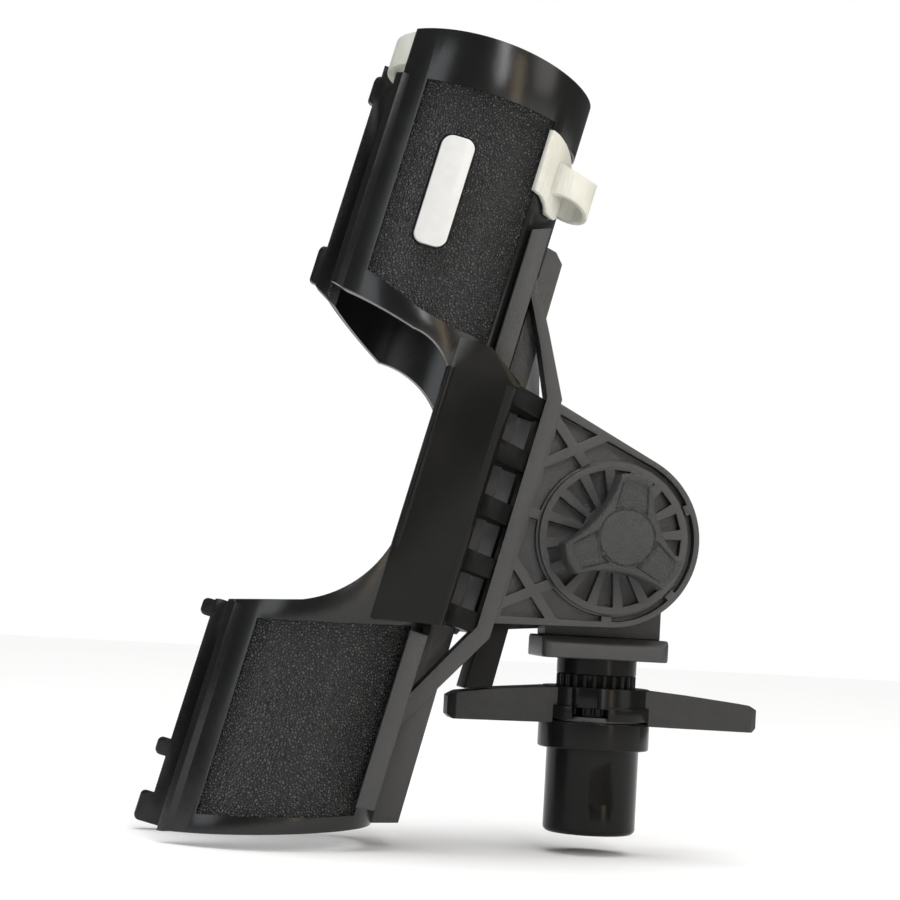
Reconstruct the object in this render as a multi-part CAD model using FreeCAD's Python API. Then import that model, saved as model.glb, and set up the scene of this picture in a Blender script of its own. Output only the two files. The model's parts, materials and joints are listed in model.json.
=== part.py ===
import FreeCAD, Part
import os
from math import radians, degrees, cos, sin, atan2, acos, hypot

V = FreeCAD.Vector

# ---- the whole holder: +X to the back, -Y to the knob side, +Z up the socket's axis (mm) ----
tilt_angle = 14.1          # the cradle leans back this far at rest
pivot_height = 83.5        # clamp bolt above the flange's seat

# cradle, in its own frame: origin at the pivot, u to the back, v up the rod's axis
cup_axis_u = -99.0
cup_radius = 42.0
cup_wall = 4.5
slot_half_width = 21.8     # the rod's stem drops in through this slot
cup_top = 172.0
top_edge = [(-150.0, cup_top), (-40.0, cup_top)]
rim_arc = [(-150.0, 165.4), (-99.0, 168.1), (-50.0, 162.0)]     # the mouth's rim in the side view
bottom_edge = [(-150.0, -162.8), (-40.0, -129.4)]
# the cups' inner ends, near side then far side: a straight run, then a bend onto the channel's edge
near_upper = [(-150.0, 65.0), (-103.0, 51.6), (-91.6, 47.6)]
far_upper = [(-150.0, 70.0), (-104.0, 44.6), (-84.5, 39.4)]
near_lower = [(-150.0, -71.5), (-112.0, -59.6), (-96.5, -48.5)]
far_lower = [(-150.0, -71.5), (-101.0, -57.0), (-85.5, -46.0)]
panel_sink = 0.9           # the grained panels lie this far below the smooth borders
lip_height = 2.2
far_lip_height = 4.4

channel_front = -86.0      # near wall's edge
far_front = -75.5          # far wall's edge, set back from the near wall's
channel_back = -57.0
channel_half = 39.5
channel_wall = 4.0
channel_top = 42.0
channel_foot = -58.6       # at the channel's front edge; it rises towards the back
foot_rise = 0.19

strap_inner = -42.0
strap_outer = -36.0
rail_back_top = -50.3
rail_back_low = -47.6
rail_near = 9.4            # |Y| of the spine rails' outer faces
rail_deep = 5.0
web_half = 2.0
frame_near = 19.0          # |Y| of the side frames' outer faces
frame_deep = 9.5           # |Y| of their inner faces
rung_pitch = 22.0
rung_thick = 8.0
first_rung = 40.0
rung_count = 5

ear_radius = 35.0
ear_face = 18.0
disc_radius = 30.0
disc_face = 19.0
rib_width = 4.0
spoke_count = 16
spoke_phase = -9.3

# pivot
bolt_radius = 4.0
bolt_clear = 0.08
tongue_half = 8.2
clutch_thick = 1.0

# knob
knob_tip = 24.5
knob_tip_half = 6.6
knob_waist = 13.6
knob_front = 42.0
knob_back = 28.5
knob_first_lobe = 83.0

# swivel base
post_radius = 18.4
post_length = 33.5
flange_radius = 22.2
flange_height = 11.0
stem_radius = 10.0
stem_clear = 0.08
stem_bottom = -26.4
neck_bottom = 12.4
neck_radius = 15.9
spline_root = 14.7
spline_count = 24
foot_bottom = 35.6
foot_top = 44.2
foot_half = 25.6
collar_top = 24.4
left_reach = 60.5
right_reach = 65.5

# lock ring
ring_outer = 40.5
ring_inner = 37.6
ring_low = 153.2
ring_travel = 70.0
thumb_angle = -42.0
loop_reach = 47.5
loop_angle = 10.0
loop_outer = 9.8
loop_inner = 7.6

AXIS_Z = V(0, 0, 1)
AXIS_Y = V(0, 1, 0)


def box(x0, x1, y0, y1, z0, z1):
    return Part.makeBox(x1 - x0, y1 - y0, z1 - z0, V(x0, y0, z0))


def cylinder(radius, z0, z1, x=0.0, y=0.0):
    return Part.makeCylinder(radius, z1 - z0, V(x, y, z0), AXIS_Z)


def barrel(radius, y0, y1, x=0.0, z=0.0):
    return Part.makeCylinder(radius, y1 - y0, V(x, y0, z), AXIS_Y)


def washer(inner, outer, z0, z1):
    return cylinder(outer, z0, z1).cut(cylinder(inner, z0 - 1, z1 + 1))


def side_washer(inner, outer, y0, y1):
    return barrel(outer, y0, y1).cut(barrel(inner, y0 - 1, y1 + 1))


def side_plate(points, y0, y1):
    """A flat plate in the side view, from y0 to y1."""
    wire = Part.makePolygon([V(u, y0, v) for u, v in points + points[:1]])
    return Part.Face(wire).extrude(V(0, y1 - y0, 0))


def plan_plate(points, z0, z1):
    wire = Part.makePolygon([V(x, y, z0) for x, y in points + points[:1]])
    return Part.Face(wire).extrude(V(0, 0, z1 - z0))


def mirrored(shape):
    return shape.mirror(V(0, 0, 0), AXIS_Y)


def fuse_all(shapes):
    return shapes[0].multiFuse(shapes[1:]).removeSplitter()


def place(shape):
    """Cradle frame to the whole holder's frame."""
    moved = shape.copy()
    moved.rotate(V(0, 0, 0), AXIS_Y, tilt_angle)
    moved.translate(V(0, 0, pivot_height))
    return moved


def save(name, shape):
    solids = shape.Solids
    for solid in solids:
        assert solid.isValid(), name
    out = solids[0] if len(solids) == 1 else Part.makeCompound(solids)
    out.exportStep("parts/" + name + ".step")
    size = out.BoundBox
    print(f"{name:20s} solids {len(solids)} volume {out.Volume / 1000:8.2f} cm3  "
          f"x {size.XMin:.1f}..{size.XMax:.1f} y {size.YMin:.1f}..{size.YMax:.1f} "
          f"z {size.ZMin:.1f}..{size.ZMax:.1f}")


# ---- cups ----

def wedge(angle0, angle1, v0, v1, reach=70.0):
    """A slice about the cup's axis, from angle0 to angle1 (0 is the back, 90 the far side)."""
    steps = 6
    rim = [angle0 + (angle1 - angle0) * i / steps for i in range(steps + 1)]
    points = [(cup_axis_u, 0.0)]
    points += [(cup_axis_u + reach * cos(radians(a)), reach * sin(radians(a))) for a in rim]
    return plan_plate(points, v0, v1)


def cup_tube(inner, outer, v0, v1):
    tube = cylinder(outer, v0, v1, cup_axis_u)
    return tube.cut(cylinder(inner, v0 - 1, v1 + 1, cup_axis_u))


def rod_slot(v0, v1):
    return box(-160, -110, -slot_half_width, slot_half_width, v0, v1)


def slot_lips(v0, near_top, far_top):
    """A raised lip along each edge of the slot; the far one stands further out."""
    near = box(-139.5, -129.0, -slot_half_width - 3.4, -slot_half_width, v0, near_top)
    near = near.common(cup_tube(cup_radius - 1.0, cup_radius + lip_height, v0, near_top))
    far = box(-141.5, -129.0, slot_half_width, slot_half_width + 3.4, v0, far_top)
    return near.fuse(far.common(cup_tube(cup_radius - 1.0, cup_radius + far_lip_height, v0, far_top)))


def lip_lug(v0, v1, reach):
    """A lug on the far lip, rounded at its outer corners."""
    lug = box(reach, -134.0, slot_half_width, slot_half_width + 4.0, v0, v1)
    corners = [e for e in lug.Edges if abs(e.Vertexes[0].Y - e.Vertexes[1].Y) > 1
               and e.Vertexes[0].X < reach + 0.1]
    return lug.makeFillet(2.2, corners).cut(cylinder(cup_radius - 1, -200, 200, cup_axis_u))


def arc_edge(start, middle, end, y):
    points = [V(p[0], y, p[1]) for p in (start, middle, end)]
    return Part.Arc(*points).toShape()


def line_edge(start, end, y):
    return Part.LineSegment(V(start[0], y, start[1]), V(end[0], y, end[1])).toShape()


def above_rim(drop):
    """Everything above the mouth's rim, less a drop."""
    low = [(u, v - drop) for u, v in rim_arc]
    edges = [arc_edge(low[0], low[1], low[2], -60), line_edge(low[2], (-50.0, 200.0), -60),
             line_edge((-50.0, 200.0), (-150.0, 200.0), -60), line_edge((-150.0, 200.0), low[0], -60)]
    return Part.Face(Part.Wire(edges)).extrude(V(0, 120, 0))


def cup_outline(rim, front, arc_end, shelf, rise, ends, y0, y1):
    """Side view of one cup's wall between y0 and y1; its shelf rises towards the back."""
    shelf_end = (ends[1][0], shelf + rise * (ends[1][0] - channel_front))
    corner = (front, shelf + rise * (front - channel_front))
    edges = [line_edge(rim[0], rim[1], y0), arc_edge(rim[1], rim[2], (front, arc_end), y0)]
    if abs(arc_end - shelf) > 0.01:
        edges.append(line_edge((front, arc_end), corner, y0))
    edges += [line_edge(corner, shelf_end, y0),
              line_edge(shelf_end, ends[1], y0),
              line_edge(ends[1], ends[0], y0),
              line_edge(ends[0], rim[0], y0)]
    return Part.Face(Part.Wire(edges)).extrude(V(0, y1 - y0, 0))


def upper_cup():
    reach = 50.0
    near = cup_outline(near_upper, channel_front, channel_top, channel_top, 0.0, top_edge, -reach, 0)
    far = cup_outline(far_upper, far_front, 30.0, channel_top, 0.0, top_edge, 0, reach)
    tube = cup_tube(cup_radius - cup_wall, cup_radius, 25, cup_top + 5)
    tube = tube.fuse(slot_lips(25, 148, 160))
    cup = tube.common(near).fuse(tube.common(far)).removeSplitter()
    cup = cup.cut(rod_slot(0, 200)).cut(above_rim(0.0))
    # groove for the lock ring, and the pocket and slot that its thumb piece runs in
    cup = cup.cut(cylinder(ring_outer + 0.4, ring_low - 0.6, 200, cup_axis_u))
    pocket = cylinder(ring_outer + 0.4, 126.0, 160.0, cup_axis_u)
    cup = cup.cut(pocket.common(wedge(thumb_angle - 10.5, thumb_angle + ring_travel + 10.5, 126, 160)))
    cup = cup.cut(wedge(thumb_angle - 5.0, thumb_angle + ring_travel + 5.0, 129.0, 141.0))
    panel = cup_tube(cup_radius - panel_sink, 60, 20, 147.0).cut(rod_slot(0, 200))
    follow = side_plate([(-126.0, 68.5), (-103.0, 59.0), (-88.0, 56.0), (-60.0, 56.0),
                         (-60.0, 147.0), (-126.0, 147.0)], -60, 60)
    sunk = panel.common(wedge(-138.0, -52.0, 20, 147)).common(follow)
    cup = cup.cut(sunk).cut(mirrored(sunk))
    return cup.multiFuse([lip_lug(65.0, 81.0, -142.6), lip_lug(143.0, 155.0, -142.0)])


def lower_cup():
    reach = 50.0
    near = cup_outline(near_lower, channel_front, -30.0, channel_foot, foot_rise, bottom_edge, -reach, 0)
    far = cup_outline(far_lower, far_front, -28.0, channel_foot, foot_rise, bottom_edge, 0, reach)
    tube = cup_tube(cup_radius - cup_wall, cup_radius, -170, 0)
    tube = tube.fuse(slot_lips(-170, -68, -68))
    cup = tube.common(near).fuse(tube.common(far)).removeSplitter()
    cup = cup.cut(rod_slot(-200, 0))
    follow = side_plate([(-126.0, -71.4), (-64.0, -55.6), (-64.0, -131.0), (-126.0, -148.0)], -60, 60)
    panel = cup_tube(cup_radius - panel_sink, 60, -170, -40)
    sunk = panel.common(wedge(-138.0, -42.0, -170, -40)).common(follow)
    cup = cup.cut(sunk).cut(mirrored(sunk))
    lugs = [lip_lug(-76.0, -69.0, -144.2), lip_lug(-134.0, -127.0, -144.6), lip_lug(-161.0, -149.0, -144.8)]
    return cup.multiFuse(lugs)


# ---- channel and frames ----

def rounded_block(front, back, half, v0, v1, corner):
    """A block along v whose two back corners are rounded."""
    block = box(front, back, -half, half, v0, v1)
    back_edges = [e for e in block.Edges if min(p.X for p in e.Vertexes) > back - 0.01
                  and abs(e.Vertexes[0].Z - e.Vertexes[1].Z) > 1]
    return block.makeFillet(corner, back_edges)


def below_channel():
    """Everything below the channel's sloping foot."""
    front, back = channel_front - 10, channel_back + 10
    slope = [(u, channel_foot + foot_rise * (u - channel_front)) for u in (front, back)]
    return side_plate(slope + [(back, channel_foot - 10), (front, channel_foot - 10)], -60, 60)


def channel_block():
    block = rounded_block(channel_front, channel_back, channel_half, channel_foot, channel_top, 5.0)
    return block.cut(below_channel())


def rear_channel():
    """The trough that joins the cups: a U with its open side to the front."""
    inner = rounded_block(channel_front - 5, channel_back - channel_wall, channel_half - channel_wall,
                          channel_foot - 1, channel_top + 1, 3.0)
    trough = channel_block().cut(inner)
    trough = trough.cut(box(channel_front - 1, far_front, 0, 60, channel_foot - 1, channel_top + 1))
    for side, front, low, high in ((-1, channel_front, -30.0, channel_top), (1, far_front, -28.0, 30.0)):
        lip = Part.makeCylinder(1.5, high - low, V(front + 1.5, side * (channel_half - 0.8), low), AXIS_Z)
        trough = trough.fuse(lip)
    core = cylinder(cup_radius + 0.02, 0, 200, cup_axis_u)
    for y0, y1, front in ((-channel_half, -14.0, channel_front), (14.0, channel_half, far_front)):
        web = side_plate([(front, channel_top), (front, 54.0), (-72.0, 54.0), (channel_back, 44.0),
                          (channel_back, channel_top)], y0, y1)
        trough = trough.fuse(web.cut(core).cut(cup_strips()))
    return trough.removeSplitter()


def spine_rail():
    """Near rail: a plate that runs behind both cups and the channel."""
    front = channel_back - 2.5
    plate = side_plate([(front, 104.0), (-54.0, 103.0), (rail_back_top, 99.0), (rail_back_low, -131.0),
                        (front, -134.5)], -rail_near, -rail_deep)
    return plate.cut(cylinder(cup_radius + 0.02, -200, 200, cup_axis_u)).cut(channel_block())


def spine_web():
    """A thin plate between the rails, from the channel's back to the strap."""
    return side_plate([(channel_back, 88.0), (-55.0, 88.0), (strap_inner, 46.0), (strap_inner, -46.0),
                       (-46.0, -54.0), (channel_back, -56.0)], -web_half, web_half)


def cup_strips():
    """The flat strips along the cups' backs, one pair above the channel and one below."""
    upper = side_plate([(-69.4, 104.0), (-62.0, 107.0), (-62.0, 47.0), (-69.4, 54.0)], -32.5, -14.0)
    lower = side_plate([(-68.8, -58.5), (-61.4, -58.5), (-61.4, -128.0), (-68.8, -128.8)], -32.5, -14.0)
    core = cylinder(cup_radius + 0.02, -200, 200, cup_axis_u)
    near = [shape.cut(core) for shape in (upper, lower)]
    return Part.makeCompound([s for shape in near + [mirrored(n) for n in near] for s in shape.Solids])


def rungs():
    """Shelf-like rungs between the channel and the side frames."""
    rail = spine_rail()
    half = frame_near - 1.5
    plan = [(-60.0, -39.0), (strap_inner, -half), (strap_inner, half), (-60.0, 39.0)]
    web_block = side_plate([(-72.0, channel_top), (-72.0, 54.0), (channel_back, 44.0),
                            (channel_back, channel_top)], -channel_half, channel_half)
    out = []
    for number in range(rung_count):
        v = first_rung - number * rung_pitch
        rung = plan_plate(plan, v - rung_thick / 2, v + rung_thick / 2)
        rung = rung.cut(rail).cut(mirrored(rail)).cut(spine_web()).cut(channel_block()).cut(web_block)
        rung = rung.cut(cylinder(cup_radius + 0.02, channel_top, 200, cup_axis_u))
        out.extend(solid for solid in rung.Solids if solid.Volume > 5)
    return Part.makeCompound(out)


def side_frame():
    """Near side frame: the long strap and its two arms, which run back to the cups."""
    strap = [(strap_inner, 45.0), (-50.8, 64.0), (-61.5, 84.0), (-61.5, 92.0), (-58.0, 86.0), (-48.4, 69.0),
             (strap_outer, 46.0),
             (strap_outer, -52.0), (-60.5, -96.0), (-64.5, -91.0), (strap_inner, -49.0)]
    frame = side_plate(strap, -frame_near, -frame_deep)
    frame = frame.cut(cylinder(cup_radius + 0.02, -200, 200, cup_axis_u))
    return frame.cut(cup_strips()).cut(rungs())


# ---- ears ----

def tangent_touch(point, radius):
    """Where the two tangents from a point touch a circle about the pivot."""
    distance = hypot(*point)
    spread = acos(radius / distance)
    middle = atan2(point[1], point[0])
    return [(radius * cos(middle + s * spread), radius * sin(middle + s * spread)) for s in (1, -1)]


def ear_outline(radius, left, top, bottom, y0, y1):
    upper = tangent_touch((left, top), radius)[1]
    lower = tangent_touch((left, bottom), radius)[0]
    edges = [line_edge((left, top), upper, y0),
             arc_edge(upper, (radius, 0.0), lower, y0),
             line_edge(lower, (left, bottom), y0),
             line_edge((left, bottom), (left, top), y0)]
    return Part.Face(Part.Wire(edges)).extrude(V(0, y1 - y0, 0))


def lattice_ribs():
    ribs = []
    for sign in (1, -1):
        for start, end in (((-38.0, 39.6 * sign), (-12.0, 19.0 * sign)),
                           ((-38.0, 18.0 * sign), (-10.0, 41.5 * sign))):
            length = hypot(end[0] - start[0], end[1] - start[1])
            rib = box(0, length, -ear_face, -frame_deep, -rib_width / 2, rib_width / 2)
            rib.rotate(V(0, 0, 0), AXIS_Y, -degrees(atan2(end[1] - start[1], end[0] - start[0])))
            rib.translate(V(start[0], 0, start[1]))
            ribs.append(rib)
    ribs.append(box(-38.0, -28.0, -ear_face, -frame_deep, -2.0, 2.0))
    for angle in (38.0, -27.0, -78.0):
        rib = box(28.0, 36.0, -ear_face, -frame_deep, -rib_width / 2, rib_width / 2)
        rib.rotate(V(0, 0, 0), AXIS_Y, -angle)
        ribs.append(rib)
    return ribs


def near_ear():
    """Ribbed ear: a raised disc with radial pockets, set in a lattice."""
    left = strap_outer
    ear = ear_outline(ear_radius, left, 44.5, -46.0, -ear_face, -frame_deep)
    pocket = ear_outline(ear_radius - 2.2, left + 1.4, 40.6, -42.4, -ear_face - 1, -ear_face + 4.6)
    pocket = pocket.cut(barrel(disc_radius + 0.9, -30, 0))
    for rib in lattice_ribs():
        pocket = pocket.cut(rib)
    ear = ear.cut(pocket)
    ear = ear.fuse(barrel(disc_radius, -disc_face, -ear_face + 1))
    ear = ear.cut(side_washer(disc_radius - 0.1, disc_radius + 0.9, -ear_face - 1, -ear_face + 1.6))
    for number in range(spoke_count):
        turn = 360.0 * number / spoke_count + spoke_phase
        inner, outer = 13.6, 27.0
        cell = side_plate([(inner, -1.6), (outer, -3.3), (outer, 3.3), (inner, 1.6)],
                          -disc_face - 1, -disc_face + 4.2)
        cell.rotate(V(0, 0, 0), AXIS_Y, turn)
        ear = ear.cut(cell)
    return ear.cut(barrel(bolt_radius + bolt_clear, -30, 0))


def far_ear():
    """Plain ear with a rim, and a hexagon pocket that keeps the bolt's head from turning."""
    ear = ear_outline(ear_radius, strap_inner, 44.5, -51.5, frame_deep, ear_face)
    pocket = ear_outline(ear_radius - 3.0, strap_inner + 3.0, 39.6, -46.0, ear_face - 4.0, ear_face + 1)
    pocket = pocket.cut(barrel(17.0, 0, 30))
    for rib in lattice_ribs():
        pocket = pocket.cut(mirrored(rib))
    ear = ear.cut(pocket)
    return ear.cut(barrel(bolt_radius + bolt_clear, 0, 30)).cut(hexagon(7.1, ear_face - 2.0, ear_face + 2))


def hexagon(apothem, y0, y1):
    corner = apothem / cos(radians(30))
    points = [(corner * cos(radians(60 * i)), corner * sin(radians(60 * i))) for i in range(6)]
    return side_plate(points, y0, y1)


def tilt_stop_leg():
    """A leg between the ears: its foot rests just above the collar's wings when the cradle is upright."""
    return side_plate([(-38.4, -36.0), (-28.2, -36.0), (-27.5, -69.6), (-38.4, -73.6)],
                      -frame_deep, frame_deep)


# ---- badge ----

badge_v = 105.4
badge_length = 43.6
badge_width = 12.6
badge_offset = -8.5        # from the cup's axis


def badge(grow=0.0, r0=None, r1=None):
    """A curved plate on the near side, bent to the cup."""
    r0 = cup_radius - panel_sink if r0 is None else r0
    r1 = cup_radius + 0.9 if r1 is None else r1
    middle = cup_axis_u + badge_offset
    blank = box(middle - badge_width / 2 - grow, middle + badge_width / 2 + grow, -60, -20,
                badge_v - badge_length / 2 - grow, badge_v + badge_length / 2 + grow)
    along_y = [e for e in blank.Edges if abs(e.Vertexes[0].Y - e.Vertexes[1].Y) > 1]
    blank = blank.makeFillet(4.0 + grow, along_y)
    return blank.common(cup_tube(r0, r1, 60, 160))


# ---- lock ring ----

def lock_ring():
    ring = cup_tube(ring_inner, ring_outer, ring_low, cup_top).cut(above_rim(0.6))
    gap_middle = 180.0 - ring_travel
    gap = wedge(gap_middle - 33.0, gap_middle + 33.0, 0, 200)
    ring = ring.cut(gap)
    leg = cup_tube(ring_inner, ring_outer, 128.0, ring_low + 1)
    leg = leg.common(wedge(thumb_angle - 8.0, thumb_angle + 8.0, 120, 160))
    return ring.fuse(leg).removeSplitter()


def thumb_outline():
    """The thumb plate's outline, seen from outside the cup."""
    outline = [(-10.5, 118.4), (-10.5, 142.0), (-9.6, 143.0), (-6.0, 142.6), (0.0, 140.8), (6.0, 137.8),
               (10.5, 134.4), (10.5, 113.5), (8.0, 112.0), (1.6, 112.0), (-0.6, 114.8), (-4.6, 117.4)]
    wire = Part.makePolygon([V(-70, y, v) for y, v in outline + outline[:1]])
    return Part.Face(wire).extrude(V(60, 0, 0))


def thumb_loop():
    """Built on +u, then turned to its place about the cup's axis."""
    stem = cup_tube(ring_outer, cup_radius + 2.2, 131.0, 139.5)
    stem = stem.common(wedge(-3.4, 3.4, 100, 160))
    plate = cup_tube(cup_radius + 0.5, cup_radius + 2.6, 112.0, 143.0)
    plate = plate.common(wedge(-13.0, 13.0, 100, 160)).common(thumb_outline())
    centre = (cup_axis_u + loop_reach * cos(radians(loop_angle)), loop_reach * sin(radians(loop_angle)))
    band = cylinder(loop_outer, 113.0, 134.0, *centre).cut(cylinder(loop_inner, 110.0, 140.0, *centre))
    band = band.cut(cylinder(cup_radius + 0.5, 100, 160, cup_axis_u))
    # the loop's top falls away outwards, and its lower rim falls towards the far side
    band = band.cut(side_plate([(-60.0, 135.0), (-40.0, 128.6), (-40.0, 140.0), (-60.0, 140.0)], -30, 30))
    rim = Part.makePolygon([V(-70, y, v) for y, v in ((-4.0, 110.0), (-4.0, 121.5), (19.0, 113.6),
                                                      (19.0, 110.0), (-4.0, 110.0))])
    band = band.cut(Part.Face(rim).extrude(V(60, 0, 0)))
    shapes = fuse_all([plate, stem, band])
    shapes.rotate(V(cup_axis_u, 0, 0), AXIS_Z, thumb_angle)
    return shapes


# ---- pivot and knob ----

def clamp_bolt():
    shank = barrel(bolt_radius, -36.5, ear_face - 2.0)
    head = hexagon(6.9, ear_face - 2.0, ear_face + 4.0)
    rim = barrel(7.7, ear_face - 2.0, ear_face + 4.0)
    return shank.fuse(head.common(rim))


def knob():
    edges = []
    lobes = [knob_first_lobe + 120.0 * i for i in range(3)]

    def at(radius, angle):
        return (radius * cos(radians(angle)), radius * sin(radians(angle)))

    half = degrees(atan2(knob_tip_half, knob_tip))
    for angle in lobes:
        edges.append(arc_edge(at(knob_tip, angle - half), at(knob_tip + 0.5, angle),
                              at(knob_tip, angle + half), -knob_front))
        edges.append(arc_edge(at(knob_tip, angle + half), at(knob_waist, angle + 60.0),
                              at(knob_tip, angle + 120.0 - half), -knob_front))
    grip = Part.Face(Part.Wire(edges)).extrude(V(0, knob_front - knob_back, 0))
    tips = [e for e in grip.Edges if abs(e.Vertexes[0].Y - e.Vertexes[-1].Y) > 1]
    grip = grip.makeFillet(2.0, tips)
    rims = [e for e in grip.Edges if max(v.Y for v in e.Vertexes) < -knob_front + 0.01]
    grip = grip.makeFillet(1.2, rims)
    boss = barrel(11.0, -knob_back - 1, -disc_face - 2.1)
    body = grip.fuse(boss).removeSplitter()
    body = body.cut(barrel(10.7, -knob_front - 1, -knob_front + 2.0))
    return body.cut(barrel(6.5, -37.0, 0))


def knob_cap():
    cap = barrel(10.4, -knob_front - 0.6, -knob_front + 2.0)
    edges = [e for e in cap.Edges if len(e.Vertexes) == 1 and e.Vertexes[0].Y < -knob_front]
    return cap.makeFillet(0.5, edges)


# ---- yoke ----

def yoke_tongue():
    half = 23.4
    plate = box(-half, half, -tongue_half, tongue_half, foot_top, pivot_height)
    plate = plate.fuse(barrel(half, -tongue_half, tongue_half, 0, pivot_height)).removeSplitter()
    return plate.cut(barrel(bolt_radius + bolt_clear, -20, 20, 0, pivot_height))


def yoke_foot():
    foot = box(-foot_half, foot_half, -17.0, 17.0, foot_bottom, foot_top)
    corners = [e for e in foot.Edges if abs(e.Vertexes[0].Z - e.Vertexes[1].Z) > 1]
    foot = foot.makeFillet(4.0, corners)
    for side in (-1, 1):
        chamfer = Part.makePolygon([V(-40, side * 20.5, foot_top - 4.6), V(-40, side * 9.0, foot_top + 2),
                                    V(-40, side * 22.0, foot_top + 2), V(-40, side * 20.5, foot_top - 4.6)])
        foot = foot.cut(Part.Face(chamfer).extrude(V(80, 0, 0)))
    return foot


def swivel_neck():
    """Smooth band above, splines below; it seats on the stem's head."""
    neck = cylinder(spline_root, neck_bottom, 29.2).fuse(cylinder(neck_radius, 29.2, foot_bottom))
    teeth = []
    for number in range(spline_count):
        tooth = box(spline_root - 0.6, neck_radius, -1.0, 1.0, 14.0, 29.2)
        tooth.rotate(V(0, 0, 0), AXIS_Z, 360.0 * number / spline_count)
        teeth.append(tooth)
    return neck.multiFuse(teeth).cut(cylinder(stem_radius, 0, 20.0))


def swivel_stem():
    return cylinder(stem_radius, stem_bottom, 20.0).cut(cylinder(3.0, stem_bottom - 1, -8.0))


def retaining_screw():
    washer_bottom = stem_bottom - 1.2
    shank = cylinder(3.0, washer_bottom, -9.0)
    head = cylinder(6.0, washer_bottom - 4.0, washer_bottom)
    return head.fuse(shank).cut(cylinder(2.4, washer_bottom - 5.0, washer_bottom - 1.8))


# ---- collar ----

def locking_collar():
    ring = cylinder(22.6, 11.8, 17.0).fuse(cylinder(21.4, 17.0, collar_top))
    ring = ring.cut(cylinder(16.4, 0, 40)).cut(cylinder(20.6, 0, 13.6))
    # a window beside the left wing, with a shallow recess above it
    ring = ring.cut(box(-13.0, 0.5, -30, -10, 10.0, 16.4))
    return ring.cut(box(-13.0, -3.3, -30, -10, 16.3, 30.0).cut(cylinder(19.4, 0, 40)))


def collar_wing(reach):
    outline = [(0, 24.0), (20, 24.0), (40, 22.4), (reach - 4, 20.2), (reach, 18.4),
               (reach, 11.0), (reach - 2, 9.4), (30, 9.8), (0, 10.4)]
    wing = side_plate(outline, -30, 30)
    plan = plan_plate([(0, -14.0), (30, -10.5), (reach - 3, -8.0), (reach, -5.0),
                       (reach, 5.0), (reach - 3, 8.0), (30, 10.5), (0, 14.0)], 0, 40)
    wing = wing.common(plan).cut(cylinder(22.6, 0, 17.0)).cut(cylinder(21.4, 16.9, 40))
    return wing.cut(cylinder(flange_radius + 0.4, 0, flange_height + 0.4))


# ---- socket post ----

def base_post():
    flange = cylinder(flange_radius, 0, flange_height)
    rims = [e for e in flange.Edges if len(e.Vertexes) == 1]
    flange = flange.makeFillet(0.8, rims)
    post = cylinder(post_radius, -post_length, 0)
    foot = [e for e in post.Edges if len(e.Vertexes) == 1 and e.Vertexes[0].Z < -1]
    post = post.makeFillet(2.4, foot)
    body = post.fuse(cylinder(post_radius, -0.01, 1)).fuse(flange)
    body = body.cut(cylinder(stem_radius + stem_clear, -50, 50)).cut(cylinder(13.5, -50, stem_bottom + 0.4))
    latch = box(-4.6, 5.3, -30, -post_radius + 0.75, -21.0, -0.8)
    return body.cut(latch)


def wave_spring():
    return washer(17.0, 20.2, flange_height, flange_height + 1.8)


def build():
    os.makedirs("parts", exist_ok=True)
    rail = spine_rail()
    frame = side_frame()
    cup = upper_cup()
    badge_recess = badge(0.9, cup_radius - panel_sink - 0.9, cup_radius + 3)
    cup = cup.cut(badge_recess)
    save("upper_cup", place(cup))
    save("lower_cup", place(lower_cup()))
    save("rear_channel", place(rear_channel()))
    save("near_spine_rail", place(rail))
    save("far_spine_rail", place(mirrored(rail)))
    save("cup_strips", place(cup_strips()))
    save("spine_web", place(spine_web()))
    save("frame_rungs", place(rungs()))
    save("near_side_frame", place(frame))
    save("near_ear", place(near_ear()))
    save("far_ear", place(far_ear()))
    save("tilt_stop_leg", place(tilt_stop_leg()))
    save("badge", place(badge(0.0, cup_radius - panel_sink - 0.9)))
    save("lock_ring", place(lock_ring()))
    save("thumb_loop", place(thumb_loop()))
    save("clamp_bolt", place(clamp_bolt()))
    save("knob_washer", place(side_washer(bolt_radius + 0.3, 10.0, -disc_face - 1.6, -disc_face)))
    turned = [knob(), knob_cap(), side_washer(bolt_radius + bolt_clear, 6.5, -36.9, -24.0)]
    for name, shape in zip(("clamp_knob", "knob_cap", "knob_insert"), turned):
        shape.translate(V(0, 0, pivot_height))
        save(name, shape)
    for name, y0 in (("near_clutch_ring", -tongue_half - clutch_thick), ("far_clutch_ring", tongue_half)):
        ring = side_washer(9.0, 22.0, y0, y0 + clutch_thick)
        ring.translate(V(0, 0, pivot_height))
        save(name, ring)
    save("yoke_tongue", yoke_tongue())
    save("yoke_foot", yoke_foot())
    save("swivel_neck", swivel_neck())
    save("swivel_stem", swivel_stem())
    save("retaining_screw", retaining_screw())
    save("retaining_washer", washer(3.0, 12.4, stem_bottom - 1.2, stem_bottom))
    save("locking_collar", locking_collar())
    left = collar_wing(left_reach)
    left.rotate(V(0, 0, 0), AXIS_Z, 180)
    save("left_wing", left)
    save("right_wing", collar_wing(right_reach))
    save("thrust_washer", washer(stem_radius, 15.4, flange_height + 0.35, neck_bottom))
    save("wave_spring", wave_spring())
    save("base_post", base_post())


build()
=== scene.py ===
import json
from math import atan2, cos, hypot, pi, radians, sin, sqrt

import bmesh
import bpy
from mathutils import Matrix, Vector


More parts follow.
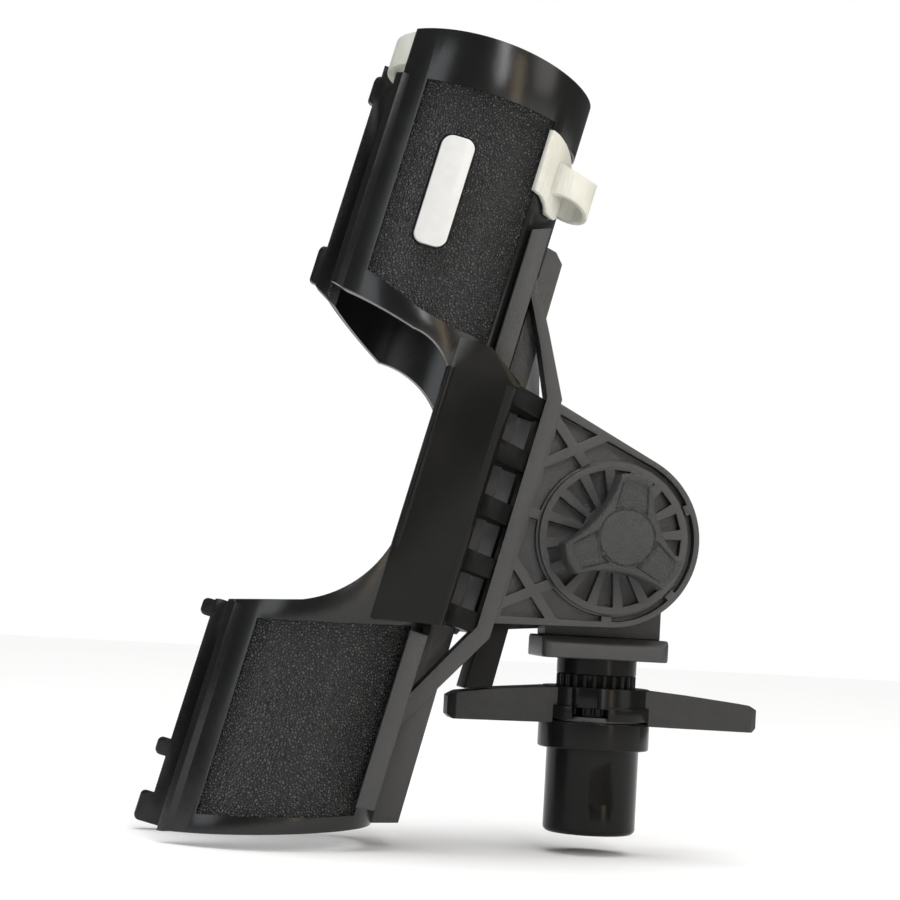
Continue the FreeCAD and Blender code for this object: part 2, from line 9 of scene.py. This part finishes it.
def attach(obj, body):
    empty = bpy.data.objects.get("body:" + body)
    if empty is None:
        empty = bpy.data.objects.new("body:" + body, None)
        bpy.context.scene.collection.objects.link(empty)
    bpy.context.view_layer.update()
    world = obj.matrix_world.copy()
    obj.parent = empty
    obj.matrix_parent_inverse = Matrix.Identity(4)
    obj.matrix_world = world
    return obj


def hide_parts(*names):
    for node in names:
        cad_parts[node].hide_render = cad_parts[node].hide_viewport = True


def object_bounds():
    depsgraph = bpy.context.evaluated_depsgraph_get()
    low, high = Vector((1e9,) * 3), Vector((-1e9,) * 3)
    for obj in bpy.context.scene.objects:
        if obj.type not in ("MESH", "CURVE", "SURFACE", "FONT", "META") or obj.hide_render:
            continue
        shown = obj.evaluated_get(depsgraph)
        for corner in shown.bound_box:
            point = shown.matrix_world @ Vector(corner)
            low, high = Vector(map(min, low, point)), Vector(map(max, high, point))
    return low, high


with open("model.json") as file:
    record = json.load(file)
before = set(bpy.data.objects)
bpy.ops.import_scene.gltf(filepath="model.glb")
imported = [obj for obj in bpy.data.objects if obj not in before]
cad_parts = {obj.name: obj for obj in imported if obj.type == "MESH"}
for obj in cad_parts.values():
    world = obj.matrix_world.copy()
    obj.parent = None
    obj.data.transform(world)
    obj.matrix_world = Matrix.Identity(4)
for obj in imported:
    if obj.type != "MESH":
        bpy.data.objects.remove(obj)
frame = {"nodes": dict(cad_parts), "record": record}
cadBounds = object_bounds()
mm = 0.001
print("frame loaded:", len(frame["nodes"]), "nodes")

joints = {joint["name"]: joint for joint in frame["record"]["behaviour"]["joints"]}
pivot = Vector(joints["cradle_tilt"]["pos_m"])
cupAxis = Vector(joints["lock_ring_turn"]["axis"]).normalized()
cupPoint = Vector(joints["lock_ring_turn"]["pos_m"])
cupRadius = 42 * mm
panelSink = 0.9 * mm


# a node output that takes part in arithmetic
class Value:
    def __init__(self, paint, socket):
        self.paint = paint
        self.socket = socket

    def maths(self, operation, first, second):
        return self.paint.add("Math", {"operation": operation}, [first, second])

    def __add__(self, other):
        return self.maths("ADD", self, other)

    def __radd__(self, other):
        return self.maths("ADD", other, self)

    def __sub__(self, other):
        return self.maths("SUBTRACT", self, other)

    def __rsub__(self, other):
        return self.maths("SUBTRACT", other, self)

    def __mul__(self, other):
        return self.maths("MULTIPLY", self, other)

    def __rmul__(self, other):
        return self.maths("MULTIPLY", other, self)


# one material's node tree
class Paint:
    def __init__(self, name, base, rough, metallic=0.0, shine=0.5):
        self.material = bpy.data.materials.new(name)
        self.material.use_nodes = True
        self.tree = self.material.node_tree
        self.shader = self.tree.nodes["Principled BSDF"]
        self.shader.inputs["Base Color"].default_value = (*base, 1.0)
        self.shader.inputs["Roughness"].default_value = rough
        self.shader.inputs["Metallic"].default_value = metallic
        self.shader.inputs["Specular IOR Level"].default_value = shine
        self.material.diffuse_color = (*base, 1.0)
        self.place = self.add("TexCoord", {}, [], "Object")

    def add(self, kind, settings, values, output=0):
        node = self.tree.nodes.new("ShaderNode" + kind)
        for name, value in settings.items():
            if name == "stops":
                self.setStops(node, value)
            else:
                setattr(node, name, value)
        pairs = values.items() if isinstance(values, dict) else enumerate(values)
        for key, value in pairs:
            self.feed(node.inputs[key], value)
        return Value(self, node.outputs[output])

    def feed(self, socket, value):
        if isinstance(value, Value):
            self.tree.links.new(value.socket, socket)
        else:
            socket.default_value = value

    def setStops(self, node, stops):
        ramp = node.color_ramp
        while len(ramp.elements) < len(stops):
            ramp.elements.new(0.5)
        for element, (position, shade) in zip(ramp.elements, stops):
            element.position = position
            element.color = (*shade, 1.0)

    def noise(self, scale, detail=3.0, rough=0.5):
        return self.add("TexNoise", {}, {"Vector": self.place, "Scale": scale, "Detail": detail,
                                         "Roughness": rough}, "Fac")

    def ramp(self, factor, stops):
        return self.add("ValToRGB", {"stops": stops}, [factor], "Color")

    def mixColour(self, factor, first, second):
        node = self.tree.nodes.new("ShaderNodeMix")
        node.data_type = "RGBA"
        self.feed(node.inputs[0], factor)
        self.feed(node.inputs[6], first if isinstance(first, Value) else (*first, 1.0))
        self.feed(node.inputs[7], second if isinstance(second, Value) else (*second, 1.0))
        return Value(self, node.outputs[2])

    def bump(self, height, strength, distance):
        values = {"Strength": strength, "Distance": distance, "Height": height}
        normal = self.add("Bump", {}, values, "Normal")
        self.feed(self.shader.inputs["Normal"], normal)

    def set(self, name, value):
        self.feed(self.shader.inputs[name], value)


# pebbled leather grain: rounded cells with creases between them
def grainHeight(paint, cell):
    warp = paint.add("TexNoise", {}, {"Vector": paint.place, "Scale": 0.6 / cell, "Detail": 2.0}, "Color")
    shifted = paint.add("VectorMath", {"operation": "MULTIPLY_ADD"},
                        [warp, (cell * 0.9,) * 3, paint.place], "Vector")
    creases = paint.add("TexVoronoi", {"feature": "DISTANCE_TO_EDGE"},
                        {"Vector": shifted, "Scale": 1.0 / cell}, "Distance")
    rounded = paint.add("MapRange", {"interpolation_type": "SMOOTHSTEP"},
                        [creases, 0.0, 0.34, 0.0, 1.0], "Result")
    return rounded + paint.noise(2.6 / cell, 2.0) * 0.35


# 1 on the sunk panels of the cups, told by their distance from the cups' axis
def cupPanelMask(paint):
    offset = paint.add("VectorMath", {"operation": "SUBTRACT"}, [paint.place, tuple(cupPoint)], "Vector")
    across = paint.add("VectorMath", {"operation": "CROSS_PRODUCT"}, [offset, tuple(cupAxis)], "Vector")
    radius = paint.add("VectorMath", {"operation": "LENGTH"}, [across], "Value")
    below = paint.add("Math", {"operation": "LESS_THAN"}, [radius, cupRadius - panelSink * 0.55])
    above = paint.add("Math", {"operation": "GREATER_THAN"}, [radius, cupRadius - panelSink * 1.75])
    return below * above


# a look with a cell-top highlight colour gets the cups' coarse grain, and grainDepth a fine even one; the
# coarse grain's colour is painted shade in the creases and a painted highlight on the cell tops
cupLook = {"base": (0.0065, 0.0067, 0.0065), "worn": (0.010, 0.010, 0.0097), "shine": 0.42,
           "rough": 0.23, "roughSpread": 0.10, "grainCell": 1.1 * mm, "grainRough": 0.2,
           "creaseShade": (0.004, 0.004, 0.0042), "cellTopHighlight": (0.060, 0.0605, 0.060)}
smoothLook = {"base": (0.0065, 0.0067, 0.0065), "worn": (0.010, 0.010, 0.0097), "shine": 0.14,
              "rough": 0.2, "roughSpread": 0.10}
duskLook = {"base": (0.0075, 0.0076, 0.0074), "worn": (0.011, 0.011, 0.0108), "shine": 0.1,
            "rough": 0.42, "roughSpread": 0.10}
sparkLook = {"base": (0.016, 0.0163, 0.0165), "worn": (0.026, 0.0263, 0.0265), "shine": 0.42,
             "rough": 0.27, "roughSpread": 0.10, "grainCell": 0.55 * mm, "grainDepth": 0.14 * mm}
# a lighter copy of the black nylon for the frame parts; the extra lightness is painted light, standing for
# the light and reflection these parts catch
framePaintedLightLook = {"base": (0.028, 0.0285, 0.0288), "worn": (0.037, 0.0376, 0.038), "shine": 0.6,
             "rough": 0.21, "roughSpread": 0.10, "grainCell": 0.55 * mm, "grainDepth": 0.09 * mm}
# the spine web's light grey is a painted reflection: black nylon given the brightness of the white
# surroundings it mirrors
webPaintedReflectionLook = {"base": (0.26, 0.265, 0.27), "worn": (0.36, 0.366, 0.372), "shine": 0.6,
           "rough": 0.3, "roughSpread": 0.12, "grainCell": 0.55 * mm, "grainDepth": 0.14 * mm}
knobLook = {"base": (0.030, 0.031, 0.030), "worn": (0.050, 0.051, 0.050), "shine": 0.5,
            "rough": 0.3, "roughSpread": 0.10, "grainCell": 0.8 * mm, "grainDepth": 0.6 * mm}


# satin black nylon
def blackNylon(name, look):
    paint = Paint(name, look["base"], look["rough"], shine=look["shine"])
    cloud = paint.noise(38.0, 4.0)
    handled = paint.ramp(cloud, [(0.35, look["base"]), (0.75, look["worn"])])
    swirl = paint.noise(160.0, 3.0) * 0.5 + cloud * 0.5
    rough = look["rough"] - look["roughSpread"] / 2 + swirl * look["roughSpread"]
    fine = paint.noise(5200.0, 2.0) * 0.05 + paint.noise(120.0, 2.0) * 0.25
    if "cellTopHighlight" in look:
        mask = cupPanelMask(paint)
        grain = grainHeight(paint, look["grainCell"])
        # the grain's colour is painted light: painted shade in the creases and a painted highlight on the
        # cell tops
        paintedGrainLight = paint.ramp(grain, [(0.35, look["creaseShade"]), (1.0, look["cellTopHighlight"])])
        paint.set("Base Color", paint.mixColour(mask, handled, paintedGrainLight))
        paint.set("Roughness", paint.add("Mix", {}, {0: mask, 2: rough, 3: look["grainRough"]}))
        paint.bump(grain * mask + fine * (1 - mask) * 0.3, 1.0, 0.9 * mm)
    elif "grainDepth" in look:
        paint.set("Base Color", handled)
        paint.set("Roughness", rough + 0.14)
        paint.bump(grainHeight(paint, look["grainCell"]) + fine, 0.6, look["grainDepth"])
    else:
        paint.set("Base Color", handled)
        paint.set("Roughness", rough)
        paint.bump(fine, 0.35, 0.1 * mm)
    return paint.material


whiteLook = {"base": (0.60, 0.595, 0.52), "worn": (0.70, 0.695, 0.63), "rough": 0.36}
badgeLook = {"base": (0.64, 0.64, 0.63), "worn": (0.68, 0.68, 0.67), "rough": 0.34}


def whiteNylon(look):
    paint = Paint("whiteNylon", look["base"], look["rough"])
    cloud = paint.noise(70.0, 4.0)
    paint.set("Base Color", paint.ramp(cloud, [(0.3, look["base"]), (0.7, look["worn"])]))
    paint.set("Roughness", 0.3 + cloud * 0.14)
    paint.bump(paint.noise(2600.0, 2.0) * 0.2 + cloud, 0.3, 0.12 * mm)
    return paint.material


def badgeWhite(look):
    paint = Paint("badgeWhite", look["base"], look["rough"])
    cloud = paint.noise(220.0, 3.0)
    paint.set("Base Color", paint.ramp(cloud, [(0.3, look["base"]), (0.7, look["worn"])]))
    paint.set("Roughness", 0.28 + cloud * 0.12)
    paint.bump(paint.noise(900.0, 2.0), 0.15, 0.06 * mm)
    return paint.material


def metal(name, base, rough):
    paint = Paint(name, base, rough, metallic=1.0)
    turned = paint.noise(1400.0, 2.0)
    dark = tuple(channel * 0.75 for channel in base)
    paint.set("Base Color", paint.ramp(turned, [(0.3, dark), (0.7, base)]))
    paint.set("Roughness", rough - 0.08 + turned * 0.16)
    paint.bump(turned, 0.2, 0.04 * mm)
    return paint.material


def plainGrain(name, base, rough, scale):
    paint = Paint(name, base, rough)
    speck = paint.noise(scale, 3.0)
    light = tuple(min(1.0, channel * 1.5) for channel in base)
    paint.set("Base Color", paint.ramp(speck, [(0.35, base), (0.75, light)]))
    paint.set("Roughness", rough - 0.05 + speck * 0.1)
    paint.bump(speck, 0.3, 0.08 * mm)
    return paint.material


# the cups' grained material carries painted crease shade and painted cell-top highlights
finishes = {"cups": blackNylon("grainedNylonPaintedLight", cupLook),
            "smooth": blackNylon("satinNylon", smoothLook),
            "dusk": blackNylon("duskNylon", duskLook),
            "spark": blackNylon("sparkNylon", sparkLook),
            # the frame finish is the black nylon lightened with painted light
            "frame": blackNylon("frameNylonPaintedLight", framePaintedLightLook),
            # the web's light grey colour is a painted reflection of the bright surroundings
            "web": blackNylon("webNylonPaintedReflection", webPaintedReflectionLook),
            "knob": blackNylon("knobNylon", knobLook),
            "white": whiteNylon(whiteLook),
            "badge": badgeWhite(badgeLook),
            "steel": metal("stainless", (0.60, 0.60, 0.585), 0.3),
            # dark steel for the wave spring: painted shade, standing for the shadow in the gap it sits in
            "darkSteel": metal("gapShadeSteel", (0.10, 0.10, 0.10), 0.42),
            "brass": metal("turnedBrass", (0.70, 0.53, 0.25), 0.28),
            "acetal": plainGrain("acetal", (0.62, 0.62, 0.58), 0.4, 900.0),
            "rubber": plainGrain("groundRubber", (0.022, 0.022, 0.022), 0.7, 2400.0)}
print("materials made:", len(finishes))


def addPiece(name, mesh, material, body, nodes):
    piece = bpy.data.objects.new(name, mesh)
    bpy.context.collection.objects.link(piece)
    if material is not None:
        mesh.materials.clear()
        mesh.materials.append(finishes[material])
    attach(piece, body)
    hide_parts(*nodes)
    return piece


def smoothBelow(mesh, angle=32.0):
    mesh.polygons.foreach_set("use_smooth", [True] * len(mesh.polygons))
    mesh.set_sharp_from_angle(angle=radians(angle))


bodyOf = {node: body for body, nodes in frame["record"]["behaviour"]["bodies"].items() for node in nodes}


# a copy of a CAD node with its arrises rounded over
def softened(node, material, width, sizes):
    mesh = frame["nodes"][node].data.copy()
    mesh.name = node + "_soft"
    work = bmesh.new()
    work.from_mesh(mesh)
    bmesh.ops.remove_doubles(work, verts=work.verts, dist=sizes["weld"] * mm)
    bmesh.ops.dissolve_limit(work, angle_limit=radians(sizes["flat"]), verts=work.verts, edges=work.edges)
    arrises = [edge for edge in work.edges
               if len(edge.link_faces) == 2 and edge.calc_face_angle(0.0) > radians(sizes["arris"])]
    bmesh.ops.bevel(work, geom=arrises, offset=width * mm, offset_type="OFFSET", segments=sizes["segments"],
                    profile=sizes["profile"], affect="EDGES", clamp_overlap=True)
    bmesh.ops.remove_doubles(work, verts=work.verts, dist=2 * sizes["weld"] * mm)
    bmesh.ops.dissolve_degenerate(work, edges=work.edges, dist=sizes["weld"] * mm)
    bmesh.ops.triangulate(work, faces=[face for face in work.faces if len(face.verts) > 4])
    work.to_mesh(mesh)
    work.free()
    smoothBelow(mesh, sizes["smooth"])
    return addPiece(node + "_moulded", mesh, material, bodyOf[node], [node])


arrisSizes = {"weld": 0.002, "flat": 0.6, "arris": 30.0, "segments": 2, "profile": 0.6, "smooth": 40.0}
# each moulded piece's finish, and how far its arrises are rounded, in mm
softening = {"upper_cup": ("cups", 0.55), "lower_cup": ("cups", 0.55), "rear_channel": ("smooth", 1.0),
             "near_spine_rail": ("frame", 0.5), "far_spine_rail": ("frame", 0.5),
             "cup_strips": ("frame", 0.5), "spine_web": ("web", 0.3),
             "frame_rungs": ("dusk", 0.5), "near_side_frame": ("frame", 0.7), "near_ear": ("frame", 0.45),
             "far_ear": ("spark", 0.5), "tilt_stop_leg": ("dusk", 0.7), "yoke_tongue": ("spark", 0.6),
             "yoke_foot": ("frame", 0.8), "locking_collar": ("smooth", 0.6), "left_wing": ("spark", 1.2),
             "right_wing": ("spark", 1.2), "base_post": ("smooth", 0.5), "lock_ring": ("white", 0.5),
             "thumb_loop": ("white", 0.85), "badge": ("badge", 0.35), "clamp_bolt": ("steel", 0.5),
             "retaining_screw": ("steel", 0.4)}
for node, (material, width) in softening.items():
    softened(node, material, width, arrisSizes)
    print("softened", node)


# a mesh from rows of points; each row runs once round
def fromGrid(name, rows):
    vertices = [point for row in rows for point in row]
    count = len(rows[0])
    faces = []
    for i in range(len(rows) - 1):
        for j in range(count):
            k = (j + 1) % count
            faces.append((i * count + j, i * count + k, (i + 1) * count + k, (i + 1) * count + j))
    mesh = bpy.data.meshes.new(name)
    mesh.from_pydata(vertices, [], faces)
    work = bmesh.new()
    work.from_mesh(mesh)
    bmesh.ops.remove_doubles(work, verts=work.verts, dist=0.001 * mm)
    bmesh.ops.recalc_face_normals(work, faces=work.faces)
    work.to_mesh(mesh)
    work.free()
    return mesh


# a turned shape: profile is (radius, height) pairs in mm, closed on itself or on the axis
def turnedMesh(name, profile, steps=96):
    rows = []
    for radius, height in profile:
        row = []
        for i in range(steps):
            turn = 2 * pi * i / steps
            row.append((radius * cos(turn) * mm, radius * sin(turn) * mm, height * mm))
        rows.append(row)
    mesh = fromGrid(name, rows)
    smoothBelow(mesh)
    return mesh


# mm, measured from the pivot, and degrees; around and outward count the mesh's steps
knobSizes = {"tip": 24.5, "tipHalf": 6.6, "tipCrown": 0.4, "waist": 13.6, "front": 42.0, "back": 28.5,
             "firstLobe": 83.0, "edge": 1.5, "faceInset": 0.3,
             "backEdge": 1.2, "backBevel": 0.35,
             "panelSink": 0.6, "panelInset": 3.0, "panelHalf": 6.6, "panelFrom": 11.0, "panelTaper": 0.12,
             "panelWall": 0.45,
             "borderDepth": 0.3, "borderHalf": 0.35, "borderAt": 0.4,
             "hub": 10.9, "hubGap": 0.7, "hubCrease": 0.5, "hubCreaseHalf": 0.45, "dome": 0.25,
             "boss": 11.0, "bossBack": 21.1, "bossEdge": 0.4, "bore": 6.5, "boreEnd": -36.9,
             "around": 384, "outward": 46}


# centre and radius of the circle through three points
def circleThrough(a, b, c):
    d = 2 * (a[0] * (b[1] - c[1]) + b[0] * (c[1] - a[1]) + c[0] * (a[1] - b[1]))
    squares = [p[0] ** 2 + p[1] ** 2 for p in (a, b, c)]
    x = (squares[0] * (b[1] - c[1]) + squares[1] * (c[1] - a[1]) + squares[2] * (a[1] - b[1])) / d
    y = (squares[0] * (c[0] - b[0]) + squares[1] * (a[0] - c[0]) + squares[2] * (b[0] - a[0])) / d
    return x, y, hypot(a[0] - x, a[1] - y)


# radius of the knob's edge for an angle measured from a lobe's middle
def knobOutline(sizes):
    half = atan2(sizes["tipHalf"], sizes["tip"])

    def at(radius, angle):
        return radius * cos(angle), radius * sin(angle)

    waist = at(sizes["waist"], pi / 3)
    x, y, r = circleThrough(at(sizes["tip"], half), waist, at(sizes["tip"], 2 * pi / 3 - half))

    def radius(angle):
        angle = abs((angle + pi / 3) % (2 * pi / 3) - pi / 3)
        if angle <= half:
            return sizes["tip"] + sizes["tipCrown"] * (1 - (angle / half) ** 2)
        along = x * cos(angle) + y * sin(angle)
        inside = along ** 2 - (x * x + y * y - r * r)
        return along - sqrt(max(inside, 0.0))
    return radius


def ease(value):
    value = min(1.0, max(0.0, value))
    return value * value * (3 - 2 * value)


# how far the knob's face lies behind its front plane
def knobFace(sizes, radius, angle, edgeRadius):
    local = (angle + pi / 3) % (2 * pi / 3) - pi / 3
    edge = edgeRadius - radius
    drop = 0.0
    if edge < sizes["edge"]:
        drop += sizes["edge"] - sqrt(max(sizes["edge"] ** 2 - (sizes["edge"] - edge) ** 2, 0.0))
    x, y = radius * cos(local), abs(radius * sin(local))
    side = sizes["panelHalf"] - sizes["panelTaper"] * (x - sizes["panelFrom"]) - y
    margin = min(edge - sizes["panelInset"], side, radius - sizes["hub"] - sizes["hubGap"])
    drop += sizes["panelSink"] * ease(margin / sizes["panelWall"])
    border = abs(margin - sizes["borderAt"])
    drop += sizes["borderDepth"] * (1 - ease(border / sizes["borderHalf"]))
    ring = abs(radius - sizes["hub"])
    drop += sizes["hubCrease"] * (1 - ease(ring / sizes["hubCreaseHalf"]))
    return drop - sizes["dome"] * ease(1 - radius / sizes["hub"])


def knobMesh(sizes):
    outline = knobOutline(sizes)
    turn = radians(sizes["firstLobe"])
    angles = [2 * pi * i / sizes["around"] for i in range(sizes["around"])]
    steps = [i / sizes["outward"] for i in range(sizes["outward"])] + [0.985, 0.995, 1.0]
    rows = []
    for step in steps:
        row = []
        for angle in angles:
            edge = outline(angle)
            radius = max(edge * step, 0.0)
            depth = -sizes["front"] + sizes["faceInset"] + knobFace(sizes, radius, angle, edge)
            row.append((radius, angle, depth))
        rows.append(row)
    back, backEdge, bevel = -sizes["back"], sizes["backEdge"], sizes["backBevel"]
    for inset, depth in ((0.0, back - backEdge), (bevel, back - bevel), (backEdge, back)):
        rows.append([(outline(a) - inset, a, depth) for a in angles])
    boss, bossBack, bossEdge = sizes["boss"], -sizes["bossBack"], sizes["bossEdge"]
    for radius, depth in ((boss + bossEdge, back), (boss, back + bossEdge), (boss, bossBack - bossEdge),
                          (boss - bossEdge, bossBack), (sizes["bore"], bossBack),
                          (sizes["bore"], sizes["boreEnd"]), (0.0, sizes["boreEnd"])):
        rows.append([(radius, a, depth) for a in angles])
    placed = [[tuple(pivot + Vector((r * cos(a + turn), d, r * sin(a + turn))) * mm) for r, a, d in row]
              for row in rows]
    mesh = fromGrid("knobMesh", placed)
    smoothBelow(mesh, 50.0)
    return mesh


addPiece("clamp_knob_grip", knobMesh(knobSizes), "knob", "knob", ["clamp_knob", "knob_cap"])
print("knob made")


# mm; the splines are rounded ribs that stop at the shoulder
neckSizes = {"core": 14.75, "band": 15.9, "bottom": 12.4, "shoulder": 29.2, "top": 35.6, "bore": 10.0,
             "edge": 0.4, "step": 0.3, "splines": 24, "splineBottom": 13.6, "splineOut": 0.1,
             "splineInside": 0.12}


# adds named inputs to a geometry tree and returns the group's input node with their identifiers
def inputsOf(tree, wanted):
    found = {}
    for name, kind in wanted.items():
        socket = tree.interface.new_socket(name, in_out="INPUT", socket_type="NodeSocket" + kind)
        found[name] = socket.identifier
    return tree.nodes.new("NodeGroupInput"), found


# rounded ribs stood round an axis, on a turned core that comes in as the object's own mesh
def ringTree(name):
    tree = bpy.data.node_groups.new(name, "GeometryNodeTree")
    tree.interface.new_socket("Core", in_out="INPUT", socket_type="NodeSocketGeometry")
    tree.interface.new_socket("Geometry", in_out="OUTPUT", socket_type="NodeSocketGeometry")
    group, found = inputsOf(tree, {"Count": "Int", "Ring Radius": "Float", "Rib Radius": "Float",
                                   "Rib Length": "Float", "Middle Height": "Float", "Material": "Material"})

    def add(kind, **settings):
        node = tree.nodes.new("GeometryNode" + kind)
        for key, value in settings.items():
            setattr(node, key, value)
        return node

    ring = add("MeshCircle", fill_type="NONE")
    rib = add("MeshCylinder", fill_type="NGON")
    rib.inputs["Vertices"].default_value = 12
    standing = add("InstanceOnPoints")
    lift = add("Transform")
    height = tree.nodes.new("ShaderNodeCombineXYZ")
    whole = add("RealizeInstances")
    joined = add("JoinGeometry")
    dressed = add("SetMaterial")
    out = tree.nodes.new("NodeGroupOutput")
    links = [(group.outputs["Count"], ring.inputs["Vertices"]),
             (group.outputs["Ring Radius"], ring.inputs["Radius"]),
             (group.outputs["Rib Radius"], rib.inputs["Radius"]),
             (group.outputs["Rib Length"], rib.inputs["Depth"]),
             (ring.outputs[0], standing.inputs["Points"]), (rib.outputs[0], standing.inputs["Instance"]),
             (group.outputs["Middle Height"], height.inputs["Z"]),
             (standing.outputs[0], lift.inputs["Geometry"]), (height.outputs[0], lift.inputs["Translation"]),
             (lift.outputs[0], joined.inputs[0]), (group.outputs["Core"], joined.inputs[0]),
             (joined.outputs[0], whole.inputs[0]), (whole.outputs[0], dressed.inputs["Geometry"]),
             (group.outputs["Material"], dressed.inputs["Material"]), (dressed.outputs[0], out.inputs[0])]
    for source, target in links:
        tree.links.new(source, target)
    return tree, found


# runs the ribs' tree on a core mesh and returns the result as a plain mesh
def ribbed(name, core, tree, found, values):
    holder = bpy.data.objects.new(name + "_work", core)
    bpy.context.collection.objects.link(holder)
    modifier = holder.modifiers.new("ribs", "NODES")
    modifier.node_group = tree
    for key, value in values.items():
        modifier[found[key]] = value
    graph = bpy.context.evaluated_depsgraph_get()
    mesh = bpy.data.meshes.new_from_object(holder.evaluated_get(graph))
    holder.modifiers.remove(modifier)
    bpy.data.objects.remove(holder)
    mesh.name = name
    return mesh


ribTree, ribInputs = ringTree("ribsRound")


def neckPiece(sizes):
    band, core, bore = sizes["band"], sizes["core"], sizes["bore"]
    bottom, shoulder, top, edge = sizes["bottom"], sizes["shoulder"], sizes["top"], sizes["edge"]
    profile = [(bore, bottom), (core - edge, bottom), (core, bottom + edge), (core, shoulder - edge),
               (core + sizes["step"], shoulder), (band - edge, shoulder), (band, shoulder + edge),
               (band, top), (bore, top), (bore, bottom)]
    coreMesh = turnedMesh("neckCore", profile)
    length = shoulder - sizes["splineBottom"]
    values = {"Count": sizes["splines"], "Ring Radius": (core + sizes["splineOut"]) * mm,
              "Rib Radius": (band - core - sizes["splineInside"]) * mm, "Rib Length": length * mm,
              "Middle Height": (shoulder - length / 2) * mm, "Material": finishes["smooth"]}
    mesh = ribbed("neckRibbed", coreMesh, ribTree, ribInputs, values)
    smoothBelow(mesh, 40.0)
    return addPiece("swivel_neck_splined", mesh, None, "yoke", ["swivel_neck"])


neckPiece(neckSizes)
print("neck made")


# CAD nodes that stay, in better finishes; the wave spring's dark steel is painted shade for the gap between
# the collar and its flange
kept = {"swivel_stem": "smooth", "retaining_washer": "steel", "wave_spring": "darkSteel",
        "knob_washer": "steel", "knob_insert": "brass", "thrust_washer": "acetal",
        "near_clutch_ring": "rubber", "far_clutch_ring": "rubber"}
for node, finish in kept.items():
    mesh = frame["nodes"][node].data
    if not mesh.materials:
        mesh.materials.append(finishes[finish])
    for index in range(len(mesh.materials)):
        mesh.materials[index] = finishes[finish]


roomLook = {"floorDrop": 0.0015, "floorSize": 3.0, "paper": (0.95, 0.95, 0.945),
            "paperLight": (0.97, 0.97, 0.965), "glow": 0.10, "seen": 1.0, "overhead": 2.9,
            "overheadSpread": 70.0}


def stagePlane(look):
    low = cadBounds[0][2] - look["floorDrop"]
    half = look["floorSize"]
    mesh = bpy.data.meshes.new("floorMesh")
    corners = [(-half, -half, low), (half, -half, low), (half, half, low), (-half, half, low)]
    mesh.from_pydata(corners, [], [(0, 1, 2, 3)])
    floor = bpy.data.objects.new("floor", mesh)
    bpy.context.collection.objects.link(floor)
    paint = Paint("paper", look["paper"], 0.85)
    mottle = paint.noise(9.0, 3.0)
    paint.set("Base Color", paint.ramp(mottle, [(0.2, look["paper"]), (0.8, look["paperLight"])]))
    mesh.materials.append(paint.material)


# place is measured from the holder's middle, in metres; power in watts
lights = {"keyStrip": {"place": (0.16, -1.28, 0.62), "size": (0.16, 0.8), "power": 5.0,
                       "colour": (1.0, 1.0, 1.0)},
          "warmStrip": {"place": (0.56, -1.19, 0.25), "size": (0.14, 0.8), "power": 2.0,
                        "colour": (1.0, 0.80, 0.55)},
          "sideFill": {"place": (-1.3, -0.6, 0.5), "size": (0.7, 1.0), "power": 5.0,
                       "colour": (0.92, 0.96, 1.0)},
          "rightFill": {"place": (1.2, -0.8, 0.6), "size": (0.7, 1.0), "power": 5.0,
                        "colour": (1.0, 0.98, 0.95)}}


def areaLight(name, look, middle):
    data = bpy.data.lights.new(name, "AREA")
    data.energy = look["power"]
    data.color = look["colour"]
    data.shape = "RECTANGLE"
    data.size, data.size_y = look["size"]
    light = bpy.data.objects.new(name, data)
    bpy.context.collection.objects.link(light)
    light.location = middle + Vector(look["place"])
    light.rotation_euler = (-Vector(look["place"])).to_track_quat("-Z", "Y").to_euler()


stagePlane(roomLook)
holderMiddle = (Vector(cadBounds[0]) + Vector(cadBounds[1])) / 2
for name, look in lights.items():
    areaLight(name, look, holderMiddle)
overhead = bpy.data.lights.new("overhead", "SUN")
overhead.energy = roomLook["overhead"]
overhead.angle = radians(roomLook["overheadSpread"])
bpy.context.collection.objects.link(bpy.data.objects.new("overhead", overhead))

world = bpy.data.worlds.new("studio")
bpy.context.scene.world = world
world.use_nodes = True
backdrop = world.node_tree.nodes["Background"]
backdrop.inputs["Color"].default_value = (1.0, 1.0, 1.0, 1.0)
rays = world.node_tree.nodes.new("ShaderNodeLightPath")
level = world.node_tree.nodes.new("ShaderNodeMapRange")
level.inputs["To Min"].default_value = roomLook["glow"]
level.inputs["To Max"].default_value = roomLook["seen"]
world.node_tree.links.new(rays.outputs["Is Camera Ray"], level.inputs["Value"])
world.node_tree.links.new(level.outputs["Result"], backdrop.inputs["Strength"])
bpy.context.scene.view_settings.view_transform = "Standard"

cameraSizes = {"azimuth": -9.0, "pitch": 3.67, "roll": 3.2, "distance": 0.938, "focal": 93.6,
               "target": Vector((-0.0636, 0.0046, 0.1157))}


def photoCamera(sizes):
    azimuth, pitch, roll = (radians(sizes[key]) for key in ("azimuth", "pitch", "roll"))
    ahead = Vector((-sin(azimuth) * cos(pitch), cos(azimuth) * cos(pitch), sin(pitch)))
    right = Vector((cos(azimuth), sin(azimuth), 0.0))
    up = right.cross(ahead)
    turnedRight = right * cos(roll) + up * sin(roll)
    turnedUp = up * cos(roll) - right * sin(roll)
    data = bpy.data.cameras.new("view")
    data.lens = sizes["focal"]
    data.sensor_width = 36.0
    data.clip_end = 20.0
    camera = bpy.data.objects.new("view", data)
    bpy.context.collection.objects.link(camera)
    place = sizes["target"] - ahead * sizes["distance"]
    turned = Matrix((turnedRight, turnedUp, -ahead)).transposed().to_4x4()
    camera.matrix_world = Matrix.Translation(place) @ turned
    bpy.context.scene.camera = camera


photoCamera(cameraSizes)
print("room, light and camera set")
